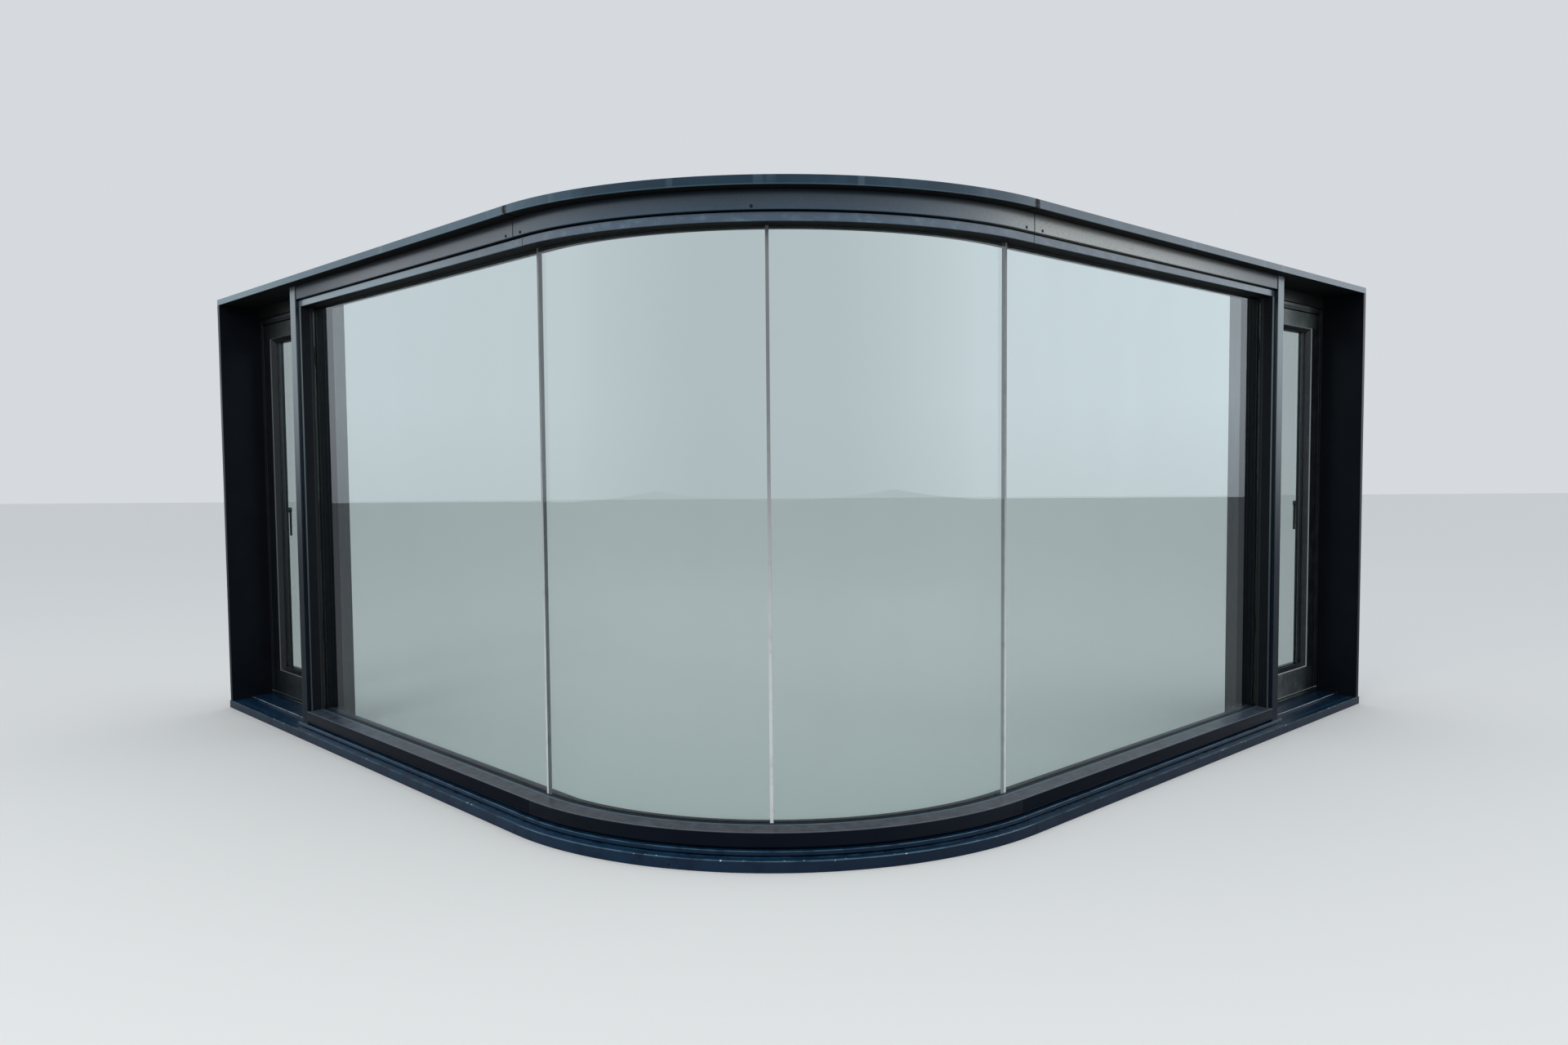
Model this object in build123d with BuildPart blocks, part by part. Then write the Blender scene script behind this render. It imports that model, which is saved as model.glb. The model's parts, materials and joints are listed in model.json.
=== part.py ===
# Bow corner window: a glazed box round a rounded corner, with a side-hung sash at each end.
# Millimetres, +Z up. The bow's middle faces -Y, and the origin is at the middle of the base.
from build123d import *
import os
from math import asin, atan2, cos, degrees, radians, sin

# The opening and its plan
opening_height = 1820.0
front_radius = 1070.0       # front face of the bow, and of each wing from the same centre
bow_angle = 90.0
wing_length = 2490.0        # from the bow's end to the outer edge of the surround
unit_depth = 240.0          # from the front face to the back of the frames
sheet = 3.0                 # folded aluminium sheet
butt_gap = 1.0              # open joint between two lengths of one member
fitting_gap = 0.5           # between a frame and the surround that it is fitted in

# Surround: head trim, sill and side reveals
trim_height = 25.0
trim_return = 30.0
reveal_flange = 25.0
drip_proud = 4.0
drip_height = 32.0
nosing_chamfer = 1.2
sill_rise = 6.0             # from the nosing to the sashes
trim_joint = {"left": 0.0, "right": 0.0}
sill_joint = {"left": 0.0, "right": 0.0}

# Glazed box: places of its faces behind the front face, and its heights
post_setback = 45.0
fascia_setback = 48.0
band_setback = 60.0
rail_setback = 42.0
glass_setback = 107.0
box_sill_setback = 26.0
post_width = 52.0
post_lip = 35.0
fascia_height = 53.0
groove_height = 4.0
band_height = 24.0
head_depth = 110.0
upstand_setback = 27.0      # of the head rail's upstand behind its band
upstand_depth = 40.0
box_sill_height = 48.5
box_sill_lip = 12.0
box_sill_foot = 44.0        # of its middle foot behind the nosing
shadow_gap = 6.5            # under the front of the bottom rail
rail_lip = 5.0
rail_lip_height = 2.0
rail_foot_setback = 16.0
rail_front_top = 94.0
rail_top = 98.0
rail_depth = 100.0
chamber_wall = 4.0          # of the hollow in each rail
jamb_nose = 12.0
jamb_splay = 4.0
jamb_splay_depth = 7.5      # in front of its rebate
jamb_web = 10.0
jamb_web_gap = 8.0          # between the web's edge and the end post's cheek
jamb_rebate_wall = 3.0
fascia_joint = {"left": 35.0, "right": 56.0}
head_joint = {"left": 4.0, "right": 72.0}

# Glass of the box
glass_thickness = 12.0
gasket_thickness = 3.5
gasket_proud = 1.5
glass_edge_gap = 5.0        # from the edge of a pane to the bottom of its rebate
rebate_depth = 14.0
silicone_width = 9.0
setting_block_length = 100.0
block_share = 0.25          # of a pane, from its end to the middle of a block

# Vents: a side-hung sash in its frame at each end
vent_width = 733.0          # from the end post's outer face to the wing's outer edge
vent_setback = 170.0
vent_sill_setback = 80.0
vent_sill_lip = 6.0
infill_height = 50.0
infill_gap = 3.0
infill_foot_setback = 12.0
vent_head = 25.0
vent_jamb = 32.0
vent_cill = 11.0
frame_groove = 3.0
frame_groove_depth = 4.0
frame_groove_inset = 12.0
stop_width = 12.0
stop_depth = 16.0
sash_gap = 5.0
sash_depth = 52.0
sash_stile = 80.0
sash_top_rail = 65.0
sash_bottom_rail = 107.0
sash_edge_radius = 2.0
sash_lip_depth = 18.0
sash_glass_thickness = 10.0
bead_width = 16.0
bead_front_setback = 4.0
bead_nose = 4.0
bead_land = 2.0
bedding = 0.3               # clearance between glass, bead and sash
seal_width = 5.0
seal_inset = 6.0

# Lift-off hinges
hinge_count = 2
hinge_height = 120.0
hinge_inset = 220.0         # from an end of the sash to the middle of a hinge
leaf_width = 24.0
leaf_thickness = 3.0
knuckle_radius = 7.0
knuckle_gap = 0.4
knuckle_proud = 8.0
leaf_setback = 7.5          # of each leaf from the hinge's axis
leaf_overlap = 0.5          # of a leaf's neck with its knuckle and leaf
pin_radius = 4.0
pin_clearance = 0.05

# Handle, which works bolts inside the sash, and their strike plate
handle_plate_width = 26.0
handle_plate_height = 72.0
handle_plate_thickness = 5.0
handle_plate_chamfer = 6.0
handle_boss_radius = 10.0
handle_boss_height = 8.0
handle_spigot_radius = 4.0
lever_clearance = 0.05
lever_gap = 0.4             # between the boss and the lever's hub
lever_reach = 15.4          # from the boss to the lever's inner face
lever_hub_radius = 12.0
lever_thickness = 6.0
lever_length = 112.0
lever_width = 15.0
lever_tip_width = 11.0
keeper_thickness = 1.5
keeper_height = 160.0
keeper_width = 18.0

os.makedirs("parts", exist_ok=True)

# Radii of the faces, and heights
half_bow = bow_angle / 2
back_radius = front_radius - unit_depth
drip_radius = front_radius + drip_proud
post_radius = front_radius - post_setback
fascia_radius = front_radius - fascia_setback
band_radius = front_radius - band_setback
rail_radius = front_radius - rail_setback
rail_back_radius = rail_radius - rail_depth
glass_radius = front_radius - glass_setback
glass_back_radius = glass_radius - glass_thickness
rebate_radius = glass_radius + gasket_thickness
rebate_back_radius = glass_back_radius - gasket_thickness
box_sill_radius = front_radius - box_sill_setback
vent_radius = front_radius - vent_setback
vent_sill_radius = front_radius - vent_sill_setback
soffit_z = opening_height - trim_height
fascia_z = soffit_z - fascia_height
band_top_z = fascia_z - groove_height
band_z = band_top_z - band_height
sill_top_z = drip_height + sill_rise
rail_lip_z = box_sill_height + shadow_gap
rebate_z = rail_top - rebate_depth
rebate_top_z = band_z + rebate_depth
glass_z = rebate_z + glass_edge_gap
glass_top_z = rebate_top_z - glass_edge_gap
reveal_wing = wing_length - reveal_flange
box_wing = wing_length - vent_width
jamb_wing = box_wing - post_width
jamb_inner_wing = jamb_wing - jamb_nose - jamb_splay
jamb_rebate = jamb_nose + jamb_splay - jamb_rebate_wall
glass_wing = jamb_inner_wing + jamb_rebate - glass_edge_gap

# The bow's centre in plan, and the directions of the right wing
outward = Vector(sin(radians(half_bow)), -cos(radians(half_bow)), 0)
along = Vector(cos(radians(half_bow)), sin(radians(half_bow)), 0)
back_y = wing_length * along.Y + back_radius * outward.Y
bow_center = Vector(0, (drip_radius - back_y) / 2, 0)
bow_axis = Axis(bow_center, (0, 0, 1))


def across_wing(distance=0.0):
    """Plane across the right wing: x is the radius and y the height; it faces the bow."""
    return Plane(bow_center + along * distance, x_dir=outward, z_dir=along * -1)


def across_bow(angle):
    """Plane across the bow at an angle from its middle: x is the radius and y the height."""
    radius_way = Vector(sin(radians(angle)), -cos(radians(angle)), 0)
    return Plane(bow_center, x_dir=radius_way, z_dir=radius_way.cross(Vector(0, 0, 1)))


def plan(height):
    """Level plane: x is the radius and y the distance along the right wing."""
    return Plane(bow_center + Vector(0, 0, height), x_dir=outward, z_dir=(0, 0, 1))


def facing(radius):
    """Upright plane along the right wing: x is the distance along it and y the height."""
    return Plane(bow_center + outward * radius, x_dir=along, z_dir=outward)


def sill_height(radius):
    """Height of the sill's sloping top at a radius."""
    slope = sill_rise / (drip_radius - vent_radius)
    return drip_height + slope * (drip_radius - max(radius, vent_radius))


def folded(*points):
    """Section of a folded sheet: the line of its outer face, thickened to the left."""
    with BuildSketch() as section:
        with BuildLine():
            Polyline(*points)
            offset(amount=sheet, side=Side.LEFT)
        make_face()
    return section.sketch


def outline(*points):
    """Section of a solid member."""
    with BuildSketch() as section:
        with BuildLine():
            Polyline(*points, close=True)
        make_face()
    return section.sketch


def bow_length(section, joints):
    """The bow's length of a member, with the straight ends that reach its two joints."""
    with BuildPart() as member:
        with BuildSketch(across_bow(-half_bow)):
            add(section)
        revolve(axis=bow_axis, revolution_arc=bow_angle)
        for wing, angle, way in (("left", -half_bow, 1), ("right", half_bow, -1)):
            if joints[wing] > butt_gap:
                with BuildSketch(across_bow(angle)):
                    add(section)
                extrude(amount=way * (joints[wing] - butt_gap / 2))
    return member.part


def wing_piece(section, start, end):
    """A straight length of a member on the right wing."""
    with BuildPart() as member:
        with BuildSketch(across_wing(start)):
            add(section)
        extrude(amount=start - end)
    return member.part


def write_pair(right, name):
    """Labels and writes a right-hand piece, and its mirror image on the left wing."""
    right.part.label = name + "_right"
    export_step(right.part, f"parts/{name}_right.step")
    with BuildPart() as left:
        add(mirror(right.part, about=Plane.YZ))
    left.part.label = name + "_left"
    export_step(left.part, f"parts/{name}_left.step")


def write_lengths(bow, section, joints, end, name):
    """Labels and writes a member's bow length, and cuts and writes its two wing lengths."""
    bow.part.label = name + "_bow"
    export_step(bow.part, f"parts/{name}_bow.step")
    with BuildPart() as right:
        add(wing_piece(section, joints["right"] + butt_gap / 2, end))
    right.part.label = name + "_right"
    export_step(right.part, f"parts/{name}_right.step")
    with BuildPart() as left:
        add(mirror(wing_piece(section, joints["left"] + butt_gap / 2, end), about=Plane.YZ))
    left.part.label = name + "_left"
    export_step(left.part, f"parts/{name}_left.step")


# Head trim and soffit: one folded tray, open at the back above the soffit
head_trim_section = folded(
    (back_radius, opening_height),
    (back_radius, soffit_z),
    (front_radius, soffit_z),
    (front_radius, opening_height),
    (front_radius - trim_return, opening_height),
)
with BuildPart() as head_trim_bow:
    add(bow_length(head_trim_section, trim_joint))
write_lengths(head_trim_bow, head_trim_section, trim_joint, wing_length, "head_trim")

# Sill: a folded drip, a top that falls outward, and a level seat under the sashes
with BuildSketch() as sill_profile:
    with BuildLine():
        Polyline(
            (drip_radius, 0),
            (drip_radius, drip_height),
            (vent_radius, sill_top_z),
            (back_radius, sill_top_z),
            (back_radius, 0),
        )
        offset(amount=sheet, side=Side.LEFT)
    make_face()
    nosing = sill_profile.vertices().group_by(Axis.X)[-1].sort_by(Axis.Y)[-1]
    chamfer(nosing, length=nosing_chamfer)
with BuildPart() as sill_bow:
    add(bow_length(sill_profile.sketch, sill_joint))
write_lengths(sill_bow, sill_profile.sketch, sill_joint, wing_length, "sill")

# Side reveals: an outer flange at the front, the deep side plate and a flange at the back
reveal_foot = [(radius, sill_height(radius)) for radius in (front_radius, vent_radius, back_radius)]
side_plate = outline(*reveal_foot, (back_radius, soffit_z), (front_radius, soffit_z))
flange_plates = outline(
    (front_radius, sill_height(front_radius)),
    (front_radius - sheet, sill_height(front_radius - sheet)),
    (front_radius - sheet, soffit_z),
    (front_radius, soffit_z),
) + outline(
    (back_radius + sheet, sill_top_z),
    (back_radius, sill_top_z),
    (back_radius, soffit_z),
    (back_radius + sheet, soffit_z),
)
with BuildPart() as reveal:
    add(wing_piece(side_plate, reveal_wing, reveal_wing + sheet))
    add(wing_piece(flange_plates, reveal_wing, wing_length))
write_pair(reveal, "reveal")

# Sub-sill of the glazed box: an extrusion with a front lip, a middle foot and a back leg
foot_radius = box_sill_radius - box_sill_foot
box_sill_section = folded(
    (box_sill_radius, box_sill_height - box_sill_lip),
    (box_sill_radius, box_sill_height),
    (back_radius, box_sill_height),
    (back_radius, sill_top_z),
) + outline(
    (foot_radius, sill_height(foot_radius)),
    (foot_radius, box_sill_height - sheet / 2),
    (foot_radius - sheet, box_sill_height - sheet / 2),
    (foot_radius - sheet, sill_height(foot_radius - sheet)),
)
with BuildPart() as box_sill_bow:
    add(bow_length(box_sill_section, sill_joint))
write_lengths(box_sill_bow, box_sill_section, sill_joint, box_wing, "box_sill")

# Sub-sill of each vent
vent_sill_section = folded(
    (vent_sill_radius, sill_top_z + sheet - vent_sill_lip),
    (vent_sill_radius, sill_top_z + sheet),
    (back_radius, sill_top_z + sheet),
)
vent_start = box_wing + fitting_gap
vent_end = reveal_wing - fitting_gap
with BuildPart() as vent_sill:
    add(wing_piece(vent_sill_section, vent_start, vent_end))
write_pair(vent_sill, "vent_sill")

# End posts of the box: a folded post with a front face, a deep outer cheek and two inner lips
with BuildSketch() as post_section:
    with BuildLine():
        Polyline(
            (post_radius - post_lip, jamb_wing),
            (post_radius, jamb_wing),
            (post_radius, box_wing),
            (back_radius, box_wing),
            (back_radius, jamb_wing),
        )
        offset(amount=sheet, side=Side.LEFT)
    make_face()
with BuildPart() as end_post:
    with BuildSketch(plan(box_sill_height)):
        add(post_section.sketch)
    extrude(amount=soffit_z - box_sill_height)
write_pair(end_post, "end_post")

# Bottom rail: splayed towards the glass, with a lip at its foot, a glazing rebate and a chamber
foot_front_radius = rail_radius - rail_foot_setback
bottom_rail_outline = outline(
    (rail_radius + rail_lip, rail_lip_z),
    (rail_radius + rail_lip, rail_lip_z + rail_lip_height),
    (rail_radius, rail_lip_z + rail_lip_height),
    (rail_radius, rail_front_top),
    (rebate_radius, rail_top),
    (rebate_radius, rebate_z),
    (rebate_back_radius, rebate_z),
    (rebate_back_radius, rail_top),
    (rail_back_radius, rail_top),
    (rail_back_radius, box_sill_height),
    (foot_front_radius, box_sill_height),
    (foot_front_radius, rail_lip_z),
)
bottom_rail_section = bottom_rail_outline - outline(
    (rail_back_radius + chamber_wall, box_sill_height + chamber_wall),
    (foot_front_radius - chamber_wall, box_sill_height + chamber_wall),
    (foot_front_radius - chamber_wall, rebate_z - chamber_wall),
    (rail_back_radius + chamber_wall, rebate_z - chamber_wall),
)
with BuildPart() as bottom_rail_bow:
    add(bow_length(bottom_rail_section, sill_joint))
write_lengths(bottom_rail_bow, bottom_rail_section, sill_joint, jamb_wing, "bottom_rail")

# Head rail: the band under the fascia with its glazing rebate, and an upstand to the soffit
upstand_radius = band_radius - upstand_setback
upstand_back_radius = upstand_radius - upstand_depth
head_back_radius = band_radius - head_depth
head_chamber_z = band_top_z + chamber_wall
head_rail_section = outline(
    (band_radius, band_z),
    (band_radius, band_top_z),
    (upstand_radius, band_top_z),
    (upstand_radius, soffit_z),
    (upstand_back_radius, soffit_z),
    (upstand_back_radius, band_top_z),
    (head_back_radius, band_top_z),
    (head_back_radius, band_z),
    (rebate_back_radius, band_z),
    (rebate_back_radius, rebate_top_z),
    (rebate_radius, rebate_top_z),
    (rebate_radius, band_z),
) - outline(
    (upstand_back_radius + chamber_wall, head_chamber_z),
    (upstand_radius - chamber_wall, head_chamber_z),
    (upstand_radius - chamber_wall, soffit_z - chamber_wall),
    (upstand_back_radius + chamber_wall, soffit_z - chamber_wall),
)
with BuildPart() as head_rail_bow:
    add(bow_length(head_rail_section, head_joint))
write_lengths(head_rail_bow, head_rail_section, head_joint, jamb_wing, "head_rail")

# Fascia: a folded channel over the head rail, between the two end posts
fascia_section = folded(
    (upstand_radius, fascia_z),
    (fascia_radius, fascia_z),
    (fascia_radius, soffit_z),
    (upstand_radius, soffit_z),
)
with BuildPart() as fascia_bow:
    add(bow_length(fascia_section, fascia_joint))
write_lengths(fascia_bow, fascia_section, fascia_joint, jamb_wing, "fascia")

# Glazing jambs: a narrow nose under the band, a deep cheek with a splay at the glass, the rebate,
# and a web at the back in the mouth of the end post; each stands on the bottom rail
web_radius = rail_back_radius + jamb_web
web_wing = box_wing - sheet - jamb_web_gap
with BuildSketch(plan(box_sill_height)) as jamb_section:
    with BuildLine():
        Polyline(
            (band_radius, jamb_wing - jamb_nose),
            (band_radius, jamb_wing),
            (web_radius, jamb_wing),
            (web_radius, web_wing),
            (rail_back_radius, web_wing),
            (rail_back_radius, jamb_inner_wing),
            (rebate_back_radius, jamb_inner_wing),
            (rebate_back_radius, jamb_inner_wing + jamb_rebate),
            (rebate_radius, jamb_inner_wing + jamb_rebate),
            (rebate_radius, jamb_inner_wing),
            (rebate_radius + jamb_splay_depth, jamb_wing - jamb_nose),
            close=True,
        )
    make_face()
with BuildPart() as glazing_jamb:
    add(jamb_section.sketch)
    extrude(amount=band_z - box_sill_height)
    with BuildSketch(across_wing(jamb_inner_wing)):
        add(bottom_rail_outline)
    extrude(amount=jamb_inner_wing - jamb_wing, mode=Mode.SUBTRACT)
write_pair(glazing_jamb, "glazing_jamb")


# Panes of the box: a flat one on each wing and two bent ones, with silicone between their edges
half_silicone = silicone_width / 2
silicone_turn = degrees(asin(half_silicone / glass_back_radius))


def between(inner_radius, outer_radius, low, high):
    """Section of an upright strip between two radii and two heights."""
    return outline((inner_radius, low), (outer_radius, low), (outer_radius, high), (inner_radius, high))


pane_section = between(glass_back_radius, glass_radius, glass_z, glass_top_z)
with BuildPart() as glass:
    add(wing_piece(pane_section, half_silicone, glass_wing))
write_pair(glass, "glass")
with BuildPart() as glass_bow:
    with BuildSketch(across_bow(silicone_turn)):
        add(pane_section)
    revolve(axis=bow_axis, revolution_arc=half_bow - 2 * silicone_turn)
write_pair(glass_bow, "glass_bow")

bent_joints = (
    (-half_bow, silicone_turn),
    (-silicone_turn, 2 * silicone_turn),
    (half_bow - silicone_turn, silicone_turn),
)
with BuildPart() as glass_joints:
    for start, turn in bent_joints:
        with BuildSketch(across_bow(start)):
            add(pane_section)
        revolve(axis=bow_axis, revolution_arc=turn)
    for way, angle in ((1, -half_bow), (-1, half_bow)):
        with BuildSketch(across_bow(angle)):
            add(pane_section)
        extrude(amount=way * half_silicone)
glass_joints.part.label = "glass_joints"
export_step(glass_joints.part, "parts/glass_joints.step")


def gasket(inner_radius, outer_radius):
    """A gasket in the rebates on one face of the glass, along the rails and up both jambs."""
    low = between(inner_radius, outer_radius, glass_z, rail_top + gasket_proud)
    high = between(inner_radius, outer_radius, band_z - gasket_proud, glass_top_z)
    upright = between(inner_radius, outer_radius, glass_z, glass_top_z)
    with BuildPart() as strip:
        for way, angle in ((1, -half_bow), (-1, half_bow)):
            for rail_strip in (low, high):
                with BuildSketch(across_bow(angle)):
                    add(rail_strip)
                extrude(amount=way * glass_wing)
            with BuildSketch(across_bow(angle).offset(way * glass_wing)):
                add(upright)
            extrude(amount=-way * (glass_wing - jamb_inner_wing + gasket_proud))
        for rail_strip in (low, high):
            with BuildSketch(across_bow(-half_bow)):
                add(rail_strip)
            revolve(axis=bow_axis, revolution_arc=bow_angle)
    return strip.part


with BuildPart() as outer_gasket:
    add(gasket(glass_radius, rebate_radius))
outer_gasket.part.label = "outer_gasket"
export_step(outer_gasket.part, "parts/outer_gasket.step")
with BuildPart() as inner_gasket:
    add(gasket(rebate_back_radius, glass_back_radius))
inner_gasket.part.label = "inner_gasket"
export_step(inner_gasket.part, "parts/inner_gasket.step")

# Setting blocks under the quarter points of each pane
block_section = between(glass_back_radius, glass_radius, rebate_z, glass_z)
with BuildPart() as setting_blocks:
    for way, angle in ((1, -half_bow), (-1, half_bow)):
        for share in (block_share, 1 - block_share):
            start = glass_wing * share - setting_block_length / 2
            with BuildSketch(across_bow(angle).offset(way * start)):
                add(block_section)
            extrude(amount=way * setting_block_length)
            with BuildSketch(across_bow(angle * share)):
                add(block_section)
            extrude(amount=setting_block_length / 2, both=True)
setting_blocks.part.label = "setting_blocks"
export_step(setting_blocks.part, "parts/setting_blocks.step")

# Vents: places along the wing, heights and radii of the frame and the sash
vent_z = sill_top_z + sheet
vent_top_z = soffit_z - infill_height - infill_gap
frame_in_start = vent_start + vent_jamb
frame_in_end = vent_end - vent_jamb
frame_in_z = vent_z + vent_cill
frame_in_top_z = vent_top_z - vent_head
sash_start = frame_in_start + sash_gap
sash_end = frame_in_end - sash_gap
sash_z = frame_in_z + sash_gap
sash_top_z = frame_in_top_z - sash_gap
sash_back_radius = vent_radius - sash_depth
sash_lip_radius = sash_back_radius + sash_lip_depth
stop_radius = back_radius + stop_depth
light_start = sash_start + sash_stile
light_end = sash_end - sash_stile
light_z = sash_z + sash_bottom_rail
light_top_z = sash_top_z - sash_top_rail


def panel(start, end, low, high, inset=0.0):
    """A rectangle on a facing plane, between two distances along the wing and two heights."""
    with BuildSketch() as shape:
        with Locations(((start + end) / 2, (low + high) / 2)):
            Rectangle(end - start - 2 * inset, high - low - 2 * inset)
    return shape.sketch


# Infill panel over each vent: a front plate with a foot that stands back on the frame
infill_z = vent_top_z + infill_gap
infill_foot_radius = vent_radius - infill_foot_setback
infill_section = outline(
    (vent_radius, infill_z),
    (vent_radius, soffit_z),
    (back_radius, soffit_z),
    (back_radius, soffit_z - sheet),
    (infill_foot_radius, soffit_z - sheet),
    (infill_foot_radius, vent_top_z),
    (infill_foot_radius + sheet, vent_top_z),
    (infill_foot_radius + sheet, infill_z),
)
with BuildPart() as vent_infill:
    add(wing_piece(infill_section, vent_start, vent_end))
write_pair(vent_infill, "vent_infill")

# Frame of each vent: jambs, head and cill with a stop behind the sash, and a grooved front
with BuildPart() as vent_frame:
    with BuildSketch(facing(back_radius)):
        add(panel(vent_start, vent_end, vent_z, vent_top_z))
        add(panel(frame_in_start, frame_in_end, frame_in_z, frame_in_top_z), mode=Mode.SUBTRACT)
    extrude(amount=vent_radius - back_radius)
    with BuildSketch(facing(back_radius)):
        add(panel(frame_in_start, frame_in_end, frame_in_z, frame_in_top_z))
        add(
            panel(frame_in_start, frame_in_end, frame_in_z, frame_in_top_z, stop_width),
            mode=Mode.SUBTRACT,
        )
    extrude(amount=stop_depth)
    groove_top_z = vent_top_z - frame_groove_inset
    groove_end = vent_end - frame_groove_inset
    with BuildSketch(facing(vent_radius)):
        add(panel(vent_start, groove_end, groove_top_z - frame_groove, groove_top_z))
        add(panel(groove_end - frame_groove, groove_end, vent_z, groove_top_z))
    extrude(amount=-frame_groove_depth, mode=Mode.SUBTRACT)
write_pair(vent_frame, "vent_frame")

# Weather seal on the stop of each vent
with BuildPart() as sash_seal:
    with BuildSketch(facing(stop_radius)):
        add(panel(frame_in_start, frame_in_end, frame_in_z, frame_in_top_z, seal_inset))
        add(
            panel(frame_in_start, frame_in_end, frame_in_z, frame_in_top_z, seal_inset + seal_width),
            mode=Mode.SUBTRACT,
        )
    extrude(amount=sash_back_radius - bedding - stop_radius)
write_pair(sash_seal, "sash_seal")

# Sash of each vent: stiles and rails with a glazing lip at the back and eased front edges
with BuildPart() as sash_frame:
    with BuildSketch(facing(sash_back_radius)):
        add(panel(sash_start, sash_end, sash_z, sash_top_z))
        add(panel(light_start, light_end, light_z, light_top_z), mode=Mode.SUBTRACT)
    extrude(amount=sash_depth)
    front_edges = sash_frame.faces().sort_by(Axis(bow_center, outward))[-1].edges()
    fillet(front_edges, radius=sash_edge_radius)
    with BuildSketch(facing(sash_back_radius)):
        add(panel(light_start, light_end, light_z, light_top_z))
        add(panel(light_start, light_end, light_z, light_top_z, bead_width), mode=Mode.SUBTRACT)
    extrude(amount=sash_lip_depth)
write_pair(sash_frame, "sash_frame")

# Pane of each sash, bedded on the lip
sash_glass_radius = sash_lip_radius + bedding
with BuildPart() as sash_glass:
    with BuildSketch(facing(sash_glass_radius)):
        add(panel(light_start, light_end, light_z, light_top_z, bedding))
    extrude(amount=sash_glass_thickness)
write_pair(sash_glass, "sash_glass")

# Glazing beads of each sash: a ring that slopes from the sash down to the glass
bead_radius = sash_glass_radius + sash_glass_thickness + bedding
bead_front_radius = vent_radius - bead_front_setback
bead_slope_depth = bead_front_radius - bead_radius - bead_nose
bead_taper = degrees(atan2(bead_width - bead_land, bead_slope_depth))
with BuildPart() as sash_beads:
    with BuildSketch(facing(bead_radius)):
        add(panel(light_start, light_end, light_z, light_top_z, bedding))
    extrude(amount=bead_front_radius - bead_radius)
    with BuildSketch(facing(bead_front_radius)):
        add(panel(light_start, light_end, light_z, light_top_z, bead_land))
    extrude(amount=-bead_slope_depth, taper=bead_taper, mode=Mode.SUBTRACT)
    with BuildSketch(facing(bead_radius)):
        add(panel(light_start, light_end, light_z, light_top_z, bead_width))
    extrude(amount=bead_front_radius - bead_radius, mode=Mode.SUBTRACT)
write_pair(sash_beads, "sash_beads")

# Lift-off hinges on the inner edge of each sash: their axis stands proud in the gap at the jamb
hinge_wing = sash_start - sash_gap / 2
hinge_radius = vent_radius + knuckle_proud
hinge_step = (sash_top_z - sash_z - 2 * hinge_inset) / (hinge_count - 1)
hinge_feet = [sash_z + hinge_inset + hinge_step * number - hinge_height / 2 for number in range(hinge_count)]
knuckle_height = (hinge_height - knuckle_gap) / 2
leaf_radius = vent_radius + leaf_thickness / 2
neck_width = leaf_setback + 2 * leaf_overlap
pin_hole_radius = pin_radius + pin_clearance


def leaves(way, lift):
    """Leaves with their knuckles, way 1 on the sash and -1 on the jamb, lifted from the hinges' feet."""
    with BuildPart() as pieces:
        for foot in hinge_feet:
            with BuildSketch(plan(foot + lift)):
                with Locations((leaf_radius, hinge_wing + way * (leaf_setback + leaf_width / 2))):
                    Rectangle(leaf_thickness, leaf_width)
                with Locations((leaf_radius, hinge_wing + way * leaf_setback / 2)):
                    Rectangle(leaf_thickness, neck_width)
                with Locations((hinge_radius, hinge_wing)):
                    Circle(knuckle_radius)
                    Circle(pin_hole_radius, mode=Mode.SUBTRACT)
            extrude(amount=knuckle_height)
    return pieces.part


with BuildPart() as frame_leaves:
    add(leaves(-1, 0))
write_pair(frame_leaves, "frame_leaves")
with BuildPart() as sash_leaves:
    add(leaves(1, knuckle_height + knuckle_gap))
write_pair(sash_leaves, "sash_leaves")
with BuildPart() as hinge_pins:
    for foot in hinge_feet:
        with BuildSketch(plan(foot)):
            with Locations((hinge_radius, hinge_wing)):
                Circle(pin_radius)
        extrude(amount=hinge_height)
write_pair(hinge_pins, "hinge_pins")

# Handle on the inner face of each sash's free stile: a plate with a boss and a spigot
handle_wing = (sash_end + light_end - bead_width) / 2
handle_z = (sash_z + sash_top_z) / 2
plate_radius = sash_back_radius - handle_plate_thickness
boss_radius = plate_radius - handle_boss_height
lever_back_radius = boss_radius - lever_reach
with BuildPart() as handle_base:
    with BuildSketch(facing(plate_radius)):
        with Locations((handle_wing, handle_z)):
            plate = Rectangle(handle_plate_width, handle_plate_height)
        chamfer(plate.vertices(), length=handle_plate_chamfer)
    extrude(amount=handle_plate_thickness)
    with BuildSketch(facing(boss_radius)):
        with Locations((handle_wing, handle_z)):
            Circle(handle_boss_radius)
    extrude(amount=handle_boss_height)
    with BuildSketch(facing(lever_back_radius)):
        with Locations((handle_wing, handle_z)):
            Circle(handle_spigot_radius)
    extrude(amount=boss_radius - lever_back_radius)
write_pair(handle_base, "handle_base")

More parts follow.
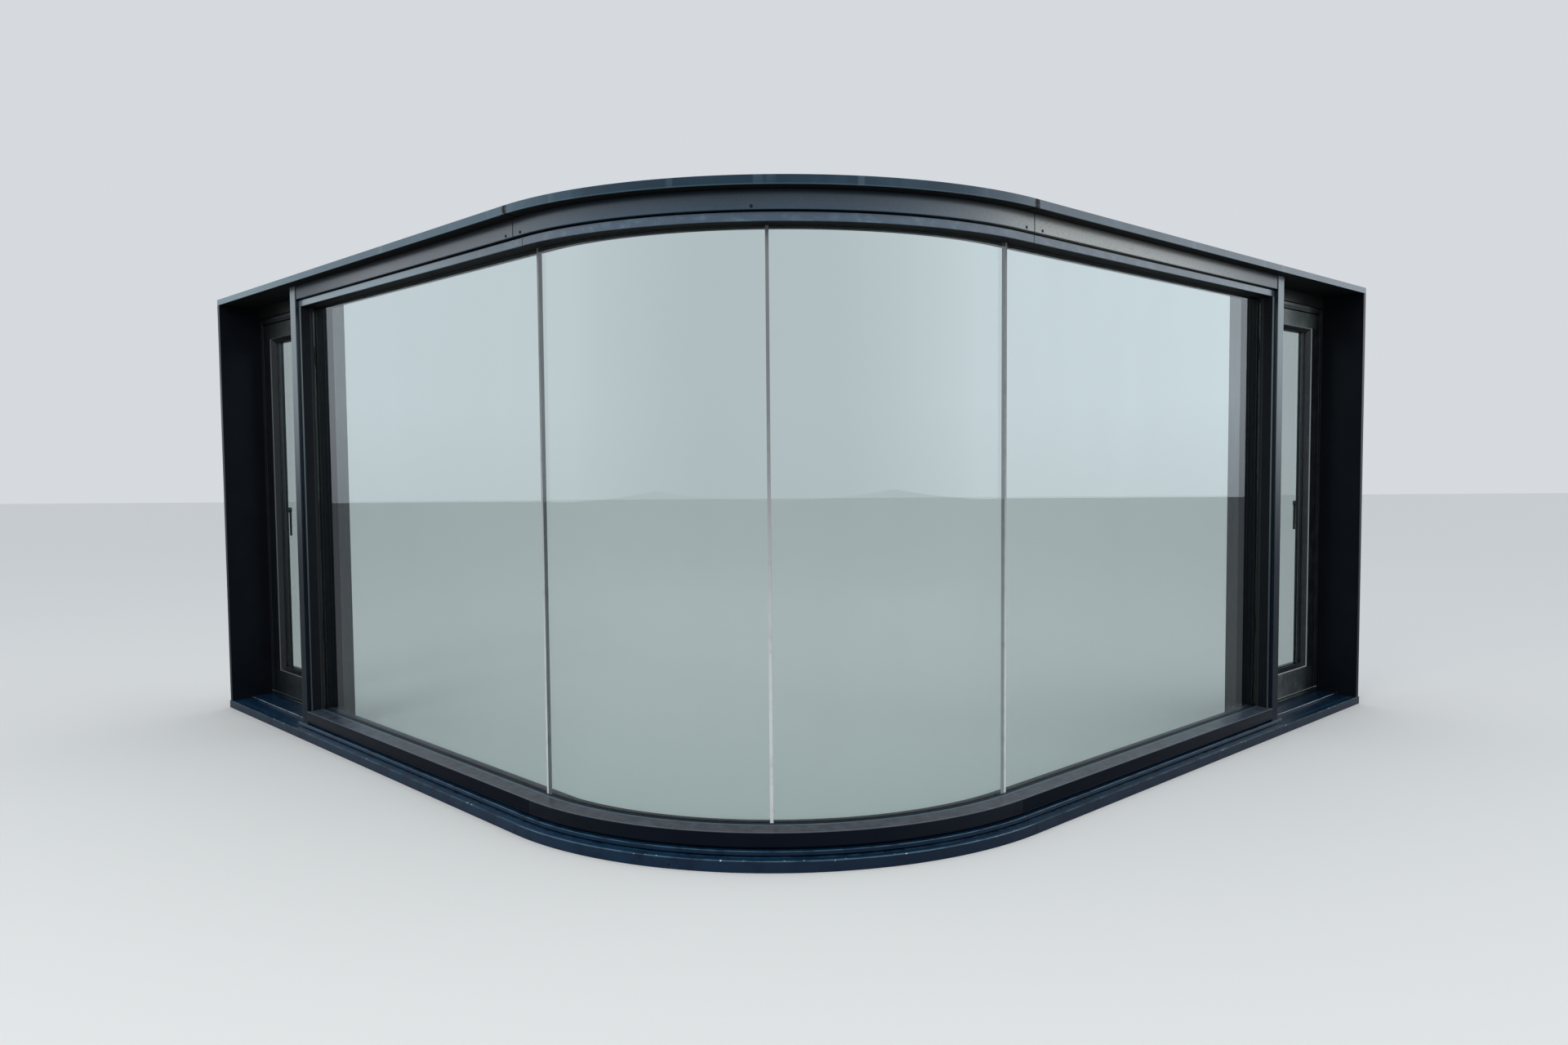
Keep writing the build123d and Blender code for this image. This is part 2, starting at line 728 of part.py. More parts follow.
# Lever of each handle, drawn closed: its grip hangs down the stile
with BuildPart() as handle_lever:
    with BuildSketch(facing(lever_back_radius)):
        with Locations((handle_wing, handle_z)):
            Circle(lever_hub_radius)
    extrude(amount=lever_reach - lever_gap)
    with BuildSketch(facing(lever_back_radius)):
        with BuildLine():
            tip_z = handle_z - lever_length
            Polyline(
                (handle_wing - lever_tip_width / 2, tip_z),
                (handle_wing - lever_width / 2, handle_z),
                (handle_wing + lever_width / 2, handle_z),
                (handle_wing + lever_tip_width / 2, tip_z),
            )
            ThreePointArc(
                (handle_wing + lever_tip_width / 2, tip_z),
                (handle_wing, tip_z - lever_tip_width / 2),
                (handle_wing - lever_tip_width / 2, tip_z),
            )
        make_face()
    extrude(amount=lever_thickness)
    with BuildSketch(facing(lever_back_radius)):
        with Locations((handle_wing, handle_z)):
            Circle(handle_spigot_radius + lever_clearance)
    extrude(amount=lever_reach, mode=Mode.SUBTRACT)
write_pair(handle_lever, "handle_lever")

# Strike plate on the side of each vent's outer jamb, facing the edge of the sash
keeper_radius = (stop_radius + vent_radius) / 2
with BuildPart() as keeper:
    with BuildSketch(plan(handle_z - keeper_height / 2)):
        with Locations((keeper_radius, frame_in_end - keeper_thickness / 2)):
            Rectangle(keeper_width, keeper_thickness)
    extrude(amount=keeper_height)
write_pair(keeper, "keeper")
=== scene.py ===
# Looks of the bow corner window: finishes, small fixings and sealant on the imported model.
# Metres, +Z up. The bow's middle faces -Y; a side of 1 is the right wing, and -1 the left one.
import bmesh
import bpy
import json
from math import cos, degrees, pi, radians, sin
from mathutils import Matrix, Vector

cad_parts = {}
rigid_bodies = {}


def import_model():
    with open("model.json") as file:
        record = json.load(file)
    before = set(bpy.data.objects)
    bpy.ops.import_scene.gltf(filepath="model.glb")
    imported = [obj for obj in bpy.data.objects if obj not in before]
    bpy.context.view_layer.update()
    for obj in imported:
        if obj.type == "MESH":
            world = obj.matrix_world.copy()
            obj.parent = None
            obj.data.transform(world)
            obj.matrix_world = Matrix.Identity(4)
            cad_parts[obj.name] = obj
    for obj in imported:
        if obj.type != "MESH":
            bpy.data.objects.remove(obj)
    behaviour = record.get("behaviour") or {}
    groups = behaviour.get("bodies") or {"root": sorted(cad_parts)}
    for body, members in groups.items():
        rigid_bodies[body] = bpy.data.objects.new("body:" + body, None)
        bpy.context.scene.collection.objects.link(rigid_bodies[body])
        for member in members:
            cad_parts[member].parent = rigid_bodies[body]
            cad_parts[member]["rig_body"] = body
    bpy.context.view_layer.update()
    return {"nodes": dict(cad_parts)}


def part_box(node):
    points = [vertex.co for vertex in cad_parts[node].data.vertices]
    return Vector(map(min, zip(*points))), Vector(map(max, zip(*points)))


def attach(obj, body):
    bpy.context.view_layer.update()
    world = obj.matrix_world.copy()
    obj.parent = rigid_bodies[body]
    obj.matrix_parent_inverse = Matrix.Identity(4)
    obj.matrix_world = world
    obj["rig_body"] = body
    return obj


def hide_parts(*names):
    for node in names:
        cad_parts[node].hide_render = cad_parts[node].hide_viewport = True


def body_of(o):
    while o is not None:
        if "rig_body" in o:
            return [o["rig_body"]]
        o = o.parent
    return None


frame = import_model()
nodes = frame["nodes"]

# Radii of the main faces, from the bow's centre in plan
drip_radius = 1.074
front_radius = 1.070        # face of the head trim
box_sill_radius = 1.044
rail_radius = 1.028
post_radius = 1.025
fascia_radius = 1.022
band_radius = 1.010         # face of the head rail
vent_sill_radius = 0.990
rebate_radius = 0.9665      # outer side of the glazing rebates
post_inside = 0.94          # behind this the end posts are painted nearly black as shade
vent_radius = 0.900

# The wings leave the bow at 45 degrees: the way along the right one, and the way it faces
wing_angle = 45
along = Vector((cos(radians(wing_angle)), sin(radians(wing_angle)), 0))
outward = Vector((sin(radians(wing_angle)), -cos(radians(wing_angle)), 0))
bow_center = Vector((0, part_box("sill_bow")[0].y + drip_radius, 0))

# Heights
drip_height = 0.032
box_sill_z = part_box("box_sill_bow")[1].z
vent_sill_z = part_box("vent_sill_right")[1].z
rail_fold_z = 0.094
sash_foot_z = 0.057
light_z = (0.164, 1.647)    # foot and head of the clear opening in each sash
fascia_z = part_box("fascia_bow")[0].z
soffit_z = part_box("end_post_right")[1].z

# Distances along the wings, from the bow's ends
fascia_joints = {-1: 0.035, 1: 0.056}
head_joints = {-1: 0.004, 1: 0.072}
post_wing = 1.757           # outer edge of each end post
light_end = 2.3475          # outer edge of the clear opening in each sash

# How the finishes mirror
head_on_mirror = 0.09       # what the sealed panes mirror of light that meets them squarely
coat_ior = 1.8
coat_roughness = 0.22


def on_wing(side, distance, radius, height):
    """A point by its distance along a wing, the radius of its face and its height."""
    place = bow_center + along * distance + outward * radius
    return Vector((side * place.x, place.y, height))


def on_bow(angle, radius, height):
    """A point on the bow at an angle in degrees from its middle."""
    turn = radians(angle)
    return bow_center + Vector((sin(turn) * radius, -cos(turn) * radius, height))


def wing_facing(side):
    """The way that a wing's front looks."""
    return Vector((side * outward.x, outward.y, 0))


def bow_facing(angle):
    """The way that the bow's front looks at an angle in degrees from its middle."""
    return (on_bow(angle, 1.0, 0) - on_bow(angle, 0.0, 0)).normalized()


class Value:
    """A shader socket that takes part in arithmetic: each operation adds a Math node."""

    def __init__(self, shader, socket):
        self.shader = shader
        self.socket = socket

    def math(self, operation, *inputs):
        return self.shader.node("ShaderNodeMath", {"operation": operation}, *inputs)

    def __add__(self, other):
        return self.math("ADD", self, other)

    def __radd__(self, other):
        return self.math("ADD", other, self)

    def __sub__(self, other):
        return self.math("SUBTRACT", self, other)

    def __rsub__(self, other):
        return self.math("SUBTRACT", other, self)

    def __mul__(self, other):
        return self.math("MULTIPLY", self, other)

    def __rmul__(self, other):
        return self.math("MULTIPLY", other, self)

    def __pow__(self, power):
        return self.math("POWER", self, power)

    def __abs__(self):
        return self.math("ABSOLUTE", self)

    def most(self, other):
        return self.math("MAXIMUM", self, other)

    def least(self, other):
        return self.math("MINIMUM", self, other)

    def above(self, level):
        """1 where the value is over a level, and 0 elsewhere."""
        return self.math("GREATER_THAN", self, level)

    def rise(self, low, high):
        """0 below low, 1 above high and a smooth step between; falls where high is the lower."""
        smooth = {"interpolation_type": "SMOOTHSTEP"}
        if low < high:
            return self.shader.node("ShaderNodeMapRange", smooth, self, low, high, 0.0, 1.0)
        return self.shader.node("ShaderNodeMapRange", smooth, self, high, low, 1.0, 0.0)


class Shader:
    """A node tree: nodes are added by type, with their settings first and then their sockets."""

    def __init__(self, tree):
        self.tree = tree

    def node(self, kind, settings, *inputs, result=0, **named):
        made = self.tree.nodes.new(kind)
        for key, value in settings.items():
            setattr(made, key, value)
        sockets = list(enumerate(inputs))
        sockets += [(key.replace("_", " "), value) for key, value in named.items()]
        for key, value in sockets:
            self.join(made.inputs[key], value)
        return Value(self, made.outputs[result])

    def join(self, target, value):
        if isinstance(value, Value):
            self.tree.links.new(target, value.socket)
        else:
            target.default_value = value

    def blend(self, mask, first, second):
        """One colour turning into another where the mask is 1."""
        mixed = self.tree.nodes.new("ShaderNodeMix")
        mixed.data_type = "RGBA"
        self.join(mixed.inputs["Factor"], mask)
        colours = [socket for socket in mixed.inputs if socket.type == "RGBA"]
        for socket, colour in zip(colours, (first, second)):
            self.join(socket, colour if isinstance(colour, Value) else (*colour, 1.0))
        return Value(self, [socket for socket in mixed.outputs if socket.type == "RGBA"][0])


class Finish(Shader):
    """One material, with patterns that lie on the window's own coordinates."""

    def __init__(self, name):
        self.material = bpy.data.materials.new(name)
        self.material.use_nodes = True
        super().__init__(self.material.node_tree)
        self.tree.nodes.clear()
        self.output = self.tree.nodes.new("ShaderNodeOutputMaterial")
        self.coordinates = self.node("ShaderNodeTexCoord", {}, result="Object")

    def find_places(self):
        """Radius from the bow's centre, distance along a wing, height, and right from 0 to 1."""
        from_center = self.node(
            "ShaderNodeVectorMath", {"operation": "SUBTRACT"}, self.coordinates, bow_center
        )
        folded = self.node("ShaderNodeVectorMath", {"operation": "ABSOLUTE"}, from_center)
        across = self.node("ShaderNodeSeparateXYZ", {}, folded, result="X")
        depth = self.node("ShaderNodeSeparateXYZ", {}, from_center, result="Y")
        self.height = self.node("ShaderNodeSeparateXYZ", {}, from_center, result="Z")
        self.right = self.node("ShaderNodeSeparateXYZ", {}, from_center, result="X").rise(-0.5, 0.5)
        self.distance = across * along.x + depth * along.y
        straight = across * outward.x + depth * outward.y
        bent = (across ** 2.0 + depth ** 2.0) ** 0.5
        on_straight = self.distance.above(0.0)
        self.radius = straight * on_straight + bent * (1 - on_straight)

    def noise(self, size, detail=4.0, roughness=0.55, scale=(1, 1, 1)):
        """Cloudy noise from 0 to 1, with features of about a size in metres."""
        place = self.node("ShaderNodeMapping", {}, Vector=self.coordinates, Scale=scale)
        return self.node(
            "ShaderNodeTexNoise", {}, Vector=place, Scale=1 / size,
            Detail=detail, Roughness=roughness, result="Fac",
        )

    def streaks(self, value, size):
        """Lines from 0 to 1 across the way in which a value grows, about a size apart."""
        return self.node(
            "ShaderNodeTexNoise", {"noise_dimensions": "1D"}, W=value, Scale=1 / size,
            Detail=3.0, result="Fac",
        )

    def bump(self, height, strength, distance):
        return self.node(
            "ShaderNodeBump", {}, Strength=strength, Distance=distance, Height=height,
            result="Normal",
        )

    def surface(self, **sockets):
        """The Principled shader with its sockets, joined to the output."""
        principled = self.node("ShaderNodeBsdfPrincipled", {}, **sockets)
        self.join(self.output.inputs["Surface"], principled)
        return self.material


def line_at(value, place, width):
    """1 at a place and falling to 0 a width away on either side."""
    return abs(value - place).rise(width, 0.0)


def joint_at(finish, joints, width):
    """1 on the joint between two lengths of a member, which lies elsewhere on each wing."""
    place = joints[-1] + finish.right * (joints[1] - joints[-1])
    return abs(finish.distance - place).rise(width, 0.001)


def coated(name, base, dusty, dust=0.3, roughness=0.3, shine=0.2, coat=0.0, marks=None):
    """Powder coat: a fine grain, a haze of dust, pale specks, and the marks of its own pieces."""
    finish = Finish(name)
    finish.find_places()
    grain = finish.noise(0.0016, detail=2.0)
    cloud = finish.noise(0.11, detail=5.0, roughness=0.62)
    specks = finish.noise(0.004, detail=1.0).rise(0.64, 0.72)
    haze = (cloud.rise(0.3, 0.75) * 0.7 + 0.3) * dust
    dirt = (haze + specks * dust * 0.5).least(1.0)
    colour = finish.blend(dirt, base, dusty)
    rough = roughness + dirt * 0.15 + (grain - 0.5) * 0.1
    if marks:
        colour, rough, dull = marks(finish, colour, rough)
        coat = (1 - dull) * coat
    return finish.surface(
        Base_Color=colour,
        Roughness=rough,
        Specular_IOR_Level=shine,
        Coat_Weight=coat,
        Coat_IOR=coat_ior,
        Coat_Roughness=coat_roughness,
        Normal=finish.bump(grain, 0.3, 0.0002),
    )


# Marks: each takes a coat's colour and roughness, and gives them back with how dull the coat is;
# some of them paint light and shade into the colour
def trim_marks(finish, colour, rough):
    """Black sealant smeared over the joints, runs and pale scuffs; painted reflection on the left
    wing, a painted highlight along the lower edge and painted shade on the soffit.
    """
    smear = finish.noise(0.03, detail=4.0, scale=(1, 1, 2.5))
    joint = line_at(finish.distance, 0.0, 0.022)
    sealant = (joint * 0.9 + smear - 0.85).rise(0.0, 0.15)
    flecks = joint.rise(0.1, 0.5) * finish.noise(0.007, detail=3.0).rise(0.6, 0.66)
    runs = finish.streaks(finish.distance, 0.06).rise(0.6, 0.68)
    runs = runs * finish.noise(0.2, detail=1.0).rise(0.4, 0.6)
    scuffs = finish.noise(0.02, detail=6.0, roughness=0.8, scale=(1, 1, 3)).rise(0.72, 0.78)
    scuffs = scuffs * finish.noise(0.3, detail=1.0).rise(0.5, 0.62)
    rubbed = finish.noise(0.16, detail=3.0, scale=(1, 1, 0.4)).rise(0.5, 0.75)
    # Painted shade: the trim's soffit is made nearly black, with a dull, rougher coat.
    soffit = finish.radius.rise(front_radius - 0.0015, front_radius - 0.004)
    soffit = soffit * finish.height.rise(soffit_z + 0.0012, soffit_z + 0.0004)
    # Painted highlight: a paler line along the lower edge of the trim's face, just above the
    # soffit.
    edge = line_at(finish.height, soffit_z, 0.004) * (1 - soffit)
    left = 1 - finish.right
    bow = finish.distance.rise(0.1, -0.4)
    # Painted reflection of the sky: the left wing is made bluer and paler, least on the bow.
    colour = finish.blend(left * (1 - bow) * 0.5, colour, (0.025, 0.1, 0.15))
    # Painted reflection of the sky: paler still towards the far end of the left wing.
    painted_left_reflection = left * finish.distance.rise(1.2, 2.3) * 0.6
    colour = finish.blend(painted_left_reflection, colour, (0.13, 0.24, 0.27))
    colour = finish.blend(rubbed * 0.25, colour, (0.06, 0.14, 0.2))
    colour = finish.blend(runs * 0.3, colour, (0.1, 0.17, 0.2))
    colour = finish.blend(edge * 0.35, colour, (0.16, 0.26, 0.32))
    colour = finish.blend(scuffs * 0.6, colour, (0.42, 0.44, 0.44))
    colour = finish.blend(sealant * 0.97, colour, (0.003, 0.004, 0.006))
    colour = finish.blend(flecks * 0.5, colour, (0.4, 0.43, 0.44))
    colour = finish.blend(soffit, colour, (0.005, 0.005, 0.005))
    dull = soffit.most(sealant * 0.9).most(bow * 0.5).most(left * 0.35)
    return colour, rough + sealant * 0.2 - edge * 0.08 + soffit * 0.4, dull


def fascia_marks(finish, colour, rough):
    """Dust and grime; dust and painted reflection make the right wing paler; painted reflection
    makes the bow bluer; dark joints, and a painted shadow at the top.
    """
    # Painted shadow under the soffit: the top of the fascia is made nearly black, with a dull coat.
    painted_soffit_shadow = finish.height.rise(soffit_z - 0.02, soffit_z + 0.002)
    speckle = finish.noise(0.0026, detail=1.0).rise(0.55, 0.68)
    # Partly dust and partly a painted reflection of the sky: the right wing is made paler.
    dust_and_reflection_wing = finish.right * finish.distance.rise(-0.5, 0.1) * finish.distance.rise(1.9, 0.5)
    colour = finish.blend(speckle * (0.1 + dust_and_reflection_wing * 0.5), colour, (0.3, 0.34, 0.36))
    colour = finish.blend(dust_and_reflection_wing * 0.8, colour, (0.42, 0.42, 0.38))
    # Painted reflection of the sky: the bow is made bluer.
    bow = finish.distance.rise(0.2, -0.3)
    colour = finish.blend(bow * 0.6, colour, (0.024, 0.065, 0.11))
    grime = finish.noise(0.006, detail=4.0, roughness=0.75).rise(0.52, 0.66)
    colour = finish.blend(grime * (0.2 + dust_and_reflection_wing * 0.25), colour, (0.05, 0.048, 0.04))
    joint = joint_at(finish, fascia_joints, 0.0035) * 0.9
    colour = finish.blend(joint, colour, (0.003, 0.004, 0.005))
    far = finish.distance.rise(0.9, 1.7) * (0.75 - finish.right * 0.35)
    dull = (painted_soffit_shadow * 0.85).most(far).most(joint)
    return finish.blend(painted_soffit_shadow * 0.85, colour, (0.008, 0.009, 0.01)), rough, dull


def band_marks(finish, colour, rough):
    """Pale blue water marks on the head rail's face, with painted reflection paler on the left wing
    and bluer on the bow; what lies behind it is painted nearly black as shade.
    """
    # Painted shade: what lies behind the face is made nearly black, with a dull, rougher coat.
    painted_underside_shade = finish.radius.rise(band_radius - 0.001, band_radius - 0.004)
    water = finish.noise(0.05, detail=6.0, roughness=0.7, scale=(1, 1, 2)).rise(0.45, 0.7)
    # Painted reflection of the sky: the left wing is made paler.
    painted_left_reflection = (1 - finish.right) * finish.distance.rise(0.1, 0.9) * 0.65
    colour = finish.blend(painted_left_reflection, colour, (0.18, 0.28, 0.32))
    # Painted reflection of the sky: the bow is made bluer.
    bow = finish.distance.rise(0.1, -0.3)
    colour = finish.blend(bow * 0.6, colour, (0.07, 0.11, 0.17))
    colour = finish.blend(water * (0.4 + bow * 0.3), colour, (0.1, 0.19, 0.26))
    joint = joint_at(finish, head_joints, 0.003)
    colour = finish.blend(joint * 0.8, colour, (0.003, 0.004, 0.005))
    return finish.blend(painted_underside_shade, colour, (0.006, 0.006, 0.006)), rough + painted_underside_shade * 0.3, painted_underside_shade


def sill_marks(finish, colour, rough):
    """Painted highlights on the nosings and lips, palest at the vents, and dirt gathered where the
    sub-sill stands.
    """
    # Painted highlights: paler lines on the nosing, on the box sill's lip and on the vent sill's
    # lip.
    nosing = line_at(finish.height, drip_height, 0.0035)
    nosing = nosing * finish.radius.rise(front_radius - 0.004, front_radius + 0.002)
    lip = line_at(finish.height, box_sill_z, 0.003) * line_at(finish.radius, box_sill_radius, 0.005)
    vent_lip = line_at(finish.height, vent_sill_z, 0.002)
    vent_lip = vent_lip * line_at(finish.radius, vent_sill_radius, 0.004)
    uneven = finish.noise(0.06, detail=5.0).rise(0.3, 0.6)
    silt = line_at(finish.radius, box_sill_radius + 0.003, 0.009)
    silt = silt * finish.height.rise(drip_height + 0.008, drip_height + 0.002) * (1 - nosing)
    grit = finish.noise(0.03, detail=5.0, roughness=0.7).rise(0.35, 0.65)
    colour = finish.blend(silt * grit * 0.6, colour, (0.04, 0.09, 0.12))
    colour = finish.blend((1 - finish.right) * uneven * 0.45, colour, (0.006, 0.036, 0.085))
    washed = finish.streaks(finish.radius, 0.004).rise(0.5, 0.7)
    washed = washed * finish.height.rise(drip_height - 0.012, drip_height + 0.002)
    colour = finish.blend(washed * grit * 0.5, colour, (0.012, 0.05, 0.1))
    # Painted highlights on the nosing and the lip, in uneven patches.
    colour = finish.blend((nosing + lip) * uneven * 0.7, colour, (0.07, 0.15, 0.2))
    # Painted glints: bright flecks along the nosing.
    flecks = nosing * finish.noise(0.016, detail=1.0).rise(0.68, 0.7)
    colour = finish.blend(flecks, colour, (0.6, 0.66, 0.7))
    # Painted highlight on the vent sill's lip, in uneven patches.
    return finish.blend(vent_lip * uneven, colour, (0.42, 0.5, 0.54)), rough, silt


def rail_marks(finish, colour, rough):
    """A nearly black upright face; the top is dusty, with a painted highlight along the fold, and
    pale at the glass.
    """
    top = finish.height.rise(rail_fold_z - 0.003, rail_fold_z + 0.001)
    front = finish.radius.rise(rail_radius - 0.006, rail_radius - 0.001)
    # Painted highlight: a paler line along the fold at the top of the front face.
    fold_highlight = line_at(finish.height, rail_fold_z, 0.0025) * front
    inner = top * line_at(finish.radius, rebate_radius + 0.006, 0.007)
    dirt = finish.noise(0.035, detail=5.0, roughness=0.7, scale=(1, 1, 3)).rise(0.35, 0.7)
    colour = finish.blend(top * (0.4 + dirt * 0.5), colour, (0.048, 0.047, 0.06))
    far = top * dirt * finish.distance.rise(0.6, 1.5)
    colour = finish.blend(far * 0.6, colour, (0.02, 0.065, 0.095))
    washed = finish.streaks(finish.radius, 0.003).rise(0.48, 0.68)
    colour = finish.blend(washed * top * (0.3 + dirt * 0.4), colour, (0.12, 0.11, 0.125))
    colour = finish.blend(inner * 0.7, colour, (0.03, 0.1, 0.15))
    return finish.blend(fold_highlight * 0.6, colour, (0.1, 0.13, 0.16)), rough + top * 0.08, 1 - top * 0.6


def post_marks(finish, colour, rough):
    """Heads painted paler as a reflection of the sky, darker towards the sill, painted highlights
    along the folds, and painted shade on the faces behind the front.
    """
    high = finish.height.rise(0.6, 1.85)
    front = finish.radius.rise(post_radius - 0.004, post_radius - 0.001)
    fold_highlight = line_at(finish.distance, post_wing, 0.004) * front
    painted_inside_shade = finish.radius.rise(post_inside, post_inside - 0.01)
    # Painted reflection of the sky: the front is made paler towards the head.
    colour = finish.blend(high * front * 0.7, colour, (0.17, 0.23, 0.25))
    # Painted shade: the faces behind the front are made nearly black.
    colour = finish.blend(painted_inside_shade, colour, (0.004, 0.004, 0.005))
    # Painted highlights along the outer fold, strongest high up.
    colour = finish.blend(fold_highlight * (0.06 + high * 0.8), colour, (0.4, 0.47, 0.48))
    return colour, rough, painted_inside_shade.most((1 - high) * 0.95)


def jamb_marks(finish, colour, rough):
    """A painted highlight on the nose of each jamb, stronger higher up, and a lighter strip runs
    beside the glass.
    """
    nose_highlight = finish.radius.rise(band_radius - 0.003, band_radius - 0.001)
    beside = line_at(finish.radius, rebate_radius + 0.004, 0.005)
    high = finish.height.rise(0.2, 1.6)
    # Painted highlight on the nose of each jamb, stronger higher up.
    colour = finish.blend(nose_highlight * (0.3 + high * 0.5), colour, (0.18, 0.22, 0.23))
    return finish.blend(beside * 0.5, colour, (0.045, 0.04, 0.038)), rough, 1 - nose_highlight * high


def sash_marks(finish, colour, rough):
    """Rails paler from grime and painted sheen, and painted highlights on the edges round each
    vent's pane and along the sash's foot, all stronger on the right.
    """
    low, high = light_z
    across = finish.distance.rise(light_end + 0.002, light_end + 0.001)
    upright = line_at(finish.distance, light_end, 0.0025)
    upright = upright * finish.height.rise(low - 0.003, low)
    upright = upright * finish.height.rise(high + 0.003, high)
    level = line_at(finish.height, low, 0.0025).most(line_at(finish.height, high, 0.0025)) * across
    # Painted highlight on the edges round the pane.
    arris_highlight = upright.most(level) * finish.radius.rise(vent_radius - 0.012, vent_radius - 0.006)
    mottle = finish.noise(0.06, detail=5.0, roughness=0.7).rise(0.42, 0.68)
    outside = finish.radius.rise(vent_radius - 0.03, vent_radius - 0.01)
    rails = finish.height.rise(high, high + 0.004).most(finish.height.rise(low, low - 0.004) * 0.5)
    # Partly grime and partly painted sheen: the rails are made paler, more on the right.
    grime = rails * finish.distance.rise(light_end + 0.08, light_end - 0.12) * (0.6 + mottle * 0.4)
    grime = (grime + mottle * 0.08) * outside * (0.3 + finish.right * 0.7)
    # Painted highlight along the sash's foot.
    foot = line_at(finish.height, sash_foot_z + 0.002, 0.003) * outside
    # The painted highlights are stronger on the right.
    uneven = 0.3 + finish.right * 0.6
    colour = finish.blend(grime * 0.85, colour, (0.15, 0.18, 0.17))
    colour = finish.blend(foot * uneven, colour, (0.42, 0.45, 0.45))
    return finish.blend(arris_highlight * uneven, colour, (0.5, 0.53, 0.53)), rough, arris_highlight


def clear_glass(name):
    """Sealed panes: clear, with a faint green body, and mirroring more at low angles."""
    finish = Finish(name)
    through = finish.node("ShaderNodeBsdfTransparent", {}, (0.83, 0.88, 0.87, 1.0))
    mirror = finish.node("ShaderNodeBsdfAnisotropic", {}, (0.95, 0.98, 1.0, 1.0), 0.0)
    edge_on = finish.node("ShaderNodeLayerWeight", {}, 0.5, result="Facing")
    share = head_on_mirror + (1 - head_on_mirror) * edge_on ** 5.0
    film = finish.noise(0.25, detail=4.0, scale=(1, 1, 0.3)).rise(0.4, 0.8) * 0.02
    pane = finish.node("ShaderNodeMixShader", {}, (share + film).least(1.0), through, mirror)
    finish.join(finish.output.inputs["Surface"], pane)
    return finish.material


def plain(name, colour, roughness, metallic=0.0, size=0.02, shine=0.5):
    """A plain finish with an even, slightly cloudy colour."""
    finish = Finish(name)
    cloud = finish.noise(size, detail=3.0)
    darker = tuple(channel * 0.8 for channel in colour)
    tone = finish.blend(cloud.rise(0.3, 0.7), darker, colour)
    rough = roughness + (cloud - 0.5) * 0.14
    return finish.surface(
        Base_Color=tone, Roughness=rough, Metallic=metallic, Specular_IOR_Level=shine
    )


def tooled_silicone(name):
    """Grey silicone with a faintly rippled face, grimy, and darker towards its head."""
    finish = Finish(name)
    finish.find_places()
    ripple = finish.noise(0.012, detail=3.0, scale=(1, 1, 0.25))
    grime = finish.noise(0.04, detail=5.0, roughness=0.7).rise(0.45, 0.75)
    colour = finish.blend(grime * 0.5, (0.7, 0.71, 0.72), (0.42, 0.42, 0.42))
    colour = finish.blend(finish.height.rise(0.3, 1.4) * 0.9, colour, (0.15, 0.152, 0.156))
    normal = finish.bump(ripple, 0.4, 0.0015)
    return finish.surface(Base_Color=colour, Roughness=0.35 + grime * 0.25, Normal=normal)


trim_coat = coated(
    "trim_coat", (0.003, 0.022, 0.042), (0.022, 0.058, 0.09),
    dust=0.3, coat=0.7, marks=trim_marks,
)
fascia_coat = coated(
    "fascia_coat", (0.006, 0.017, 0.032), (0.045, 0.068, 0.088),
    dust=0.35, roughness=0.34, coat=0.85, marks=fascia_marks,
)
band_coat = coated(
    "band_coat", (0.011, 0.033, 0.06), (0.055, 0.1, 0.14),
    dust=0.4, coat=0.9, marks=band_marks,
)
sill_coat = coated(
    "sill_coat", (0.001, 0.008, 0.024), (0.009, 0.03, 0.06),
    dust=0.35, roughness=0.26, coat=0.3, marks=sill_marks,
)
rail_coat = coated(
    "rail_coat", (0.0008, 0.0025, 0.007), (0.006, 0.01, 0.018),
    dust=0.25, shine=0.12, coat=0.4, marks=rail_marks,
)
recess_coat = coated(
    "recess_coat", (0.004, 0.0055, 0.0085), (0.010, 0.0125, 0.017),
    dust=0.35,
)
jamb_coat = coated(
    "jamb_coat", (0.0025, 0.004, 0.0065), (0.009, 0.012, 0.016),
    dust=0.35, coat=0.8, marks=jamb_marks,
)
post_coat = coated(
    "post_coat", (0.002, 0.006, 0.013), (0.01, 0.02, 0.03),
    dust=0.3, shine=0.15, coat=0.7, marks=post_marks,
)
infill_coat = coated(
    "infill_coat", (0.008, 0.009, 0.009), (0.03, 0.031, 0.028),
    dust=0.5, coat=0.3,
)
sash_coat = coated(
    "sash_coat", (0.003, 0.004, 0.0055), (0.012, 0.015, 0.018),
    dust=0.3, coat=0.55, marks=sash_marks,
)
glass = clear_glass("clear_glass")
silicone = tooled_silicone("silicone")
black_rubber = plain("black_rubber", (0.009, 0.009, 0.01), 0.6)
block_rubber = plain("block_rubber", (0.03, 0.03, 0.032), 0.7)
hinge_black = plain("hinge_black", (0.02, 0.022, 0.025), 0.35)
bare_steel = plain("bare_steel", (0.5, 0.5, 0.51), 0.3, metallic=1.0)
handle_black = plain("handle_black", (0.014, 0.015, 0.017), 0.3, size=0.008)
black_screw = plain("black_screw", (0.006, 0.006, 0.008), 0.35)

